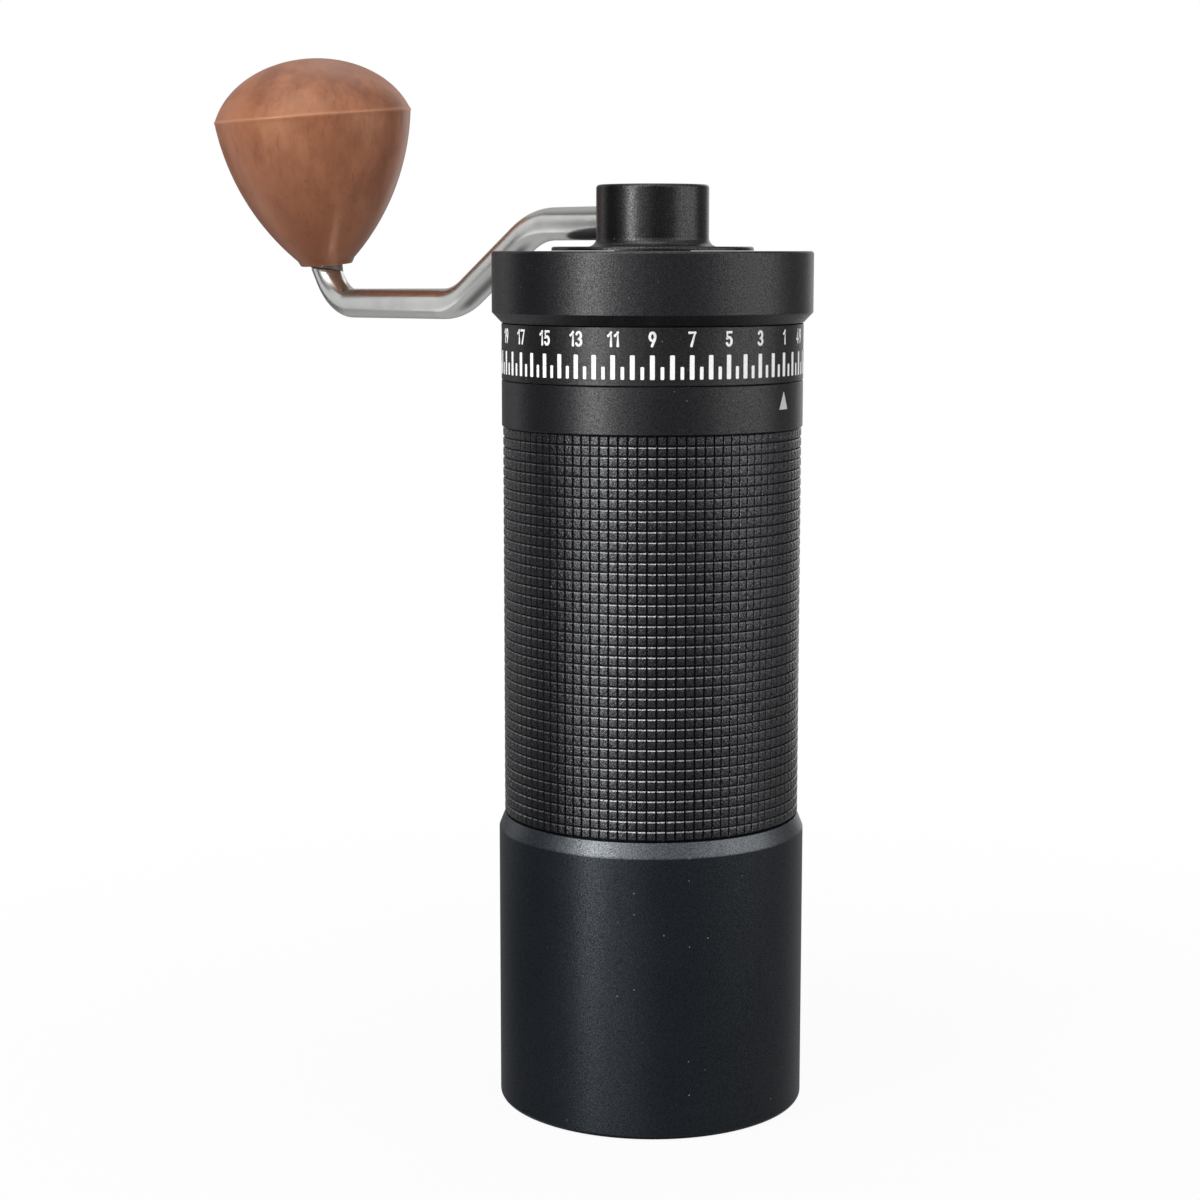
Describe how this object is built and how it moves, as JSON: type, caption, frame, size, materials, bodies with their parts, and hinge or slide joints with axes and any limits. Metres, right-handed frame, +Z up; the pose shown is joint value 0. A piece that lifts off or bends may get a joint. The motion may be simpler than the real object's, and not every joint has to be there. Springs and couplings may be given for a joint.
{
  "type": "hand crank coffee grinder",
  "caption": "Slim hand coffee grinder: knurled metal tube on a push-on catch cup, setting dial at the neck, and a lift-off lid carrying a bent crank with a turned wooden knob.",
  "frame": {"origin": "middle of the catch cup's flat underside", "axes": "+Z up the tube to the crank hub; the crank arm points along -X and is rolled a few degrees in its bore, so the knob's top leans towards -Y; the index mark on the band is at +22.7 degrees from +X"},
  "size_m": [0.1666, 0.0558, 0.1902],
  "materials": {
    "cup_black": "fine bead-blasted, blue-black anodised",
    "body_black": "fine bead-blasted, black anodised",
    "grip_black": "black anodised with a fine grid relief",
    "dial_black": "fine bead-blasted, black anodised, white engraved scale",
    "crank_black": "fine bead-blasted, black anodised",
    "rod_steel": "stainless, polished to a soft satin",
    "knob_wood": "turned, fine pored, oiled satin",
    "burr_steel": "machined and hardened",
    "holder_alloy": "machined, clear anodised",
    "bearing_steel": "ground",
    "cage_brass": "pressed",
    "shaft_steel": "ground stainless",
    "spring_steel": "drawn wire",
    "clip_steel": "blackened",
    "bush_brass": "turned",
    "seal_rubber": "matte",
    "washer_plastic": "matte"
  },
  "bodies": {
    "cup": {"catch_cup": "cup_black"},
    "body": {"body_tube": "body_black", "grip_sleeve": "grip_black", "cup_seal": "seal_rubber", "neck_collar": "body_black", "lid_seal": "seal_rubber", "outer_burr": "burr_steel", "burr_clamp_ring": "shaft_steel", "lower_bearing_holder": "holder_alloy", "lower_bearing_outer": "bearing_steel", "detent_ball": "bearing_steel", "detent_spring": "spring_steel"},
    "lower_race": {"lower_bearing_inner": "bearing_steel"},
    "lower_cage": {"lower_bearing_cage": "cage_brass", "lower_bearing_balls": "bearing_steel"},
    "dial": {"dial_ring": "dial_black"},
    "carrier": {"bearing_carrier": "holder_alloy", "upper_bearing_outer": "bearing_steel", "bearing_clip": "clip_steel"},
    "upper_cage": {"upper_bearing_cage": "cage_brass", "upper_bearing_balls": "bearing_steel"},
    "shaft": {"drive_shaft": "shaft_steel", "upper_bearing_inner": "bearing_steel", "shaft_clip": "clip_steel", "preload_spring": "spring_steel", "inner_burr": "burr_steel", "burr_pin": "shaft_steel", "burr_washer": "shaft_steel", "burr_nut": "shaft_steel"},
    "lid": {"lid": "body_black", "lid_bushing": "bush_brass"},
    "crank": {"crank_hub": "crank_black", "crank_arm": "rod_steel", "arm_grub_screw": "clip_steel", "hub_washer": "shaft_steel", "hub_retaining_ring": "clip_steel", "knob_spindle": "shaft_steel", "knob_washer": "washer_plastic"},
    "knob": {"knob": "knob_wood", "knob_sleeve": "bush_brass", "spindle_clip": "clip_steel"}
  },
  "joints": [
    {"name": "body_lift", "type": "slide", "parent": "cup", "child": "body", "axis": [0, 0, 1], "range_m": [0, 0.06]},
    {"name": "dial_turn", "type": "hinge", "parent": "body", "child": "dial", "pos_m": [0, 0, 0.1331], "axis": [0, 0, 1], "range_deg": [-7.2, 712.8]},
    {"name": "carrier_feed", "type": "slide", "parent": "body", "child": "carrier", "axis": [0, 0, 1], "range_m": [-0.0016, 0.00002], "deforming": ["preload_spring"]},
    {"name": "crank_turn", "type": "hinge", "parent": "lid", "child": "crank", "pos_m": [0, 0, 0.1503], "axis": [0, 0, 1], "continuous": true},
    {"name": "shaft_spin", "type": "hinge", "parent": "carrier", "child": "shaft", "pos_m": [0, 0, 0.1335], "axis": [0, 0, 1], "continuous": true},
    {"name": "upper_cage_spin", "type": "hinge", "parent": "carrier", "child": "upper_cage", "pos_m": [0, 0, 0.1335], "axis": [0, 0, 1], "continuous": true},
    {"name": "lower_race_spin", "type": "hinge", "parent": "body", "child": "lower_race", "pos_m": [0, 0, 0.07], "axis": [0, 0, 1], "continuous": true},
    {"name": "lower_cage_spin", "type": "hinge", "parent": "body", "child": "lower_cage", "pos_m": [0, 0, 0.07], "axis": [0, 0, 1], "continuous": true},
    {"name": "lid_lift", "type": "slide", "parent": "body", "child": "lid", "axis": [0, 0, 1], "range_m": [0, 0.06]},
    {"name": "knob_spin", "type": "hinge", "parent": "crank", "child": "knob", "pos_m": [-0.1181, 0.00069, 0.14743], "axis": [0, -0.0889, 0.996], "continuous": true}
  ],
  "couplings": [
    {"joint": "carrier_feed", "follows": "dial_turn", "m_per_rad": -0.00012732},
    {"joint": "shaft_spin", "follows": "crank_turn", "ratio": 1},
    {"joint": "lower_race_spin", "follows": "crank_turn", "ratio": 1},
    {"joint": "upper_cage_spin", "follows": "crank_turn", "ratio": 0.41667},
    {"joint": "lower_cage_spin", "follows": "crank_turn", "ratio": 0.41667}
  ]
}
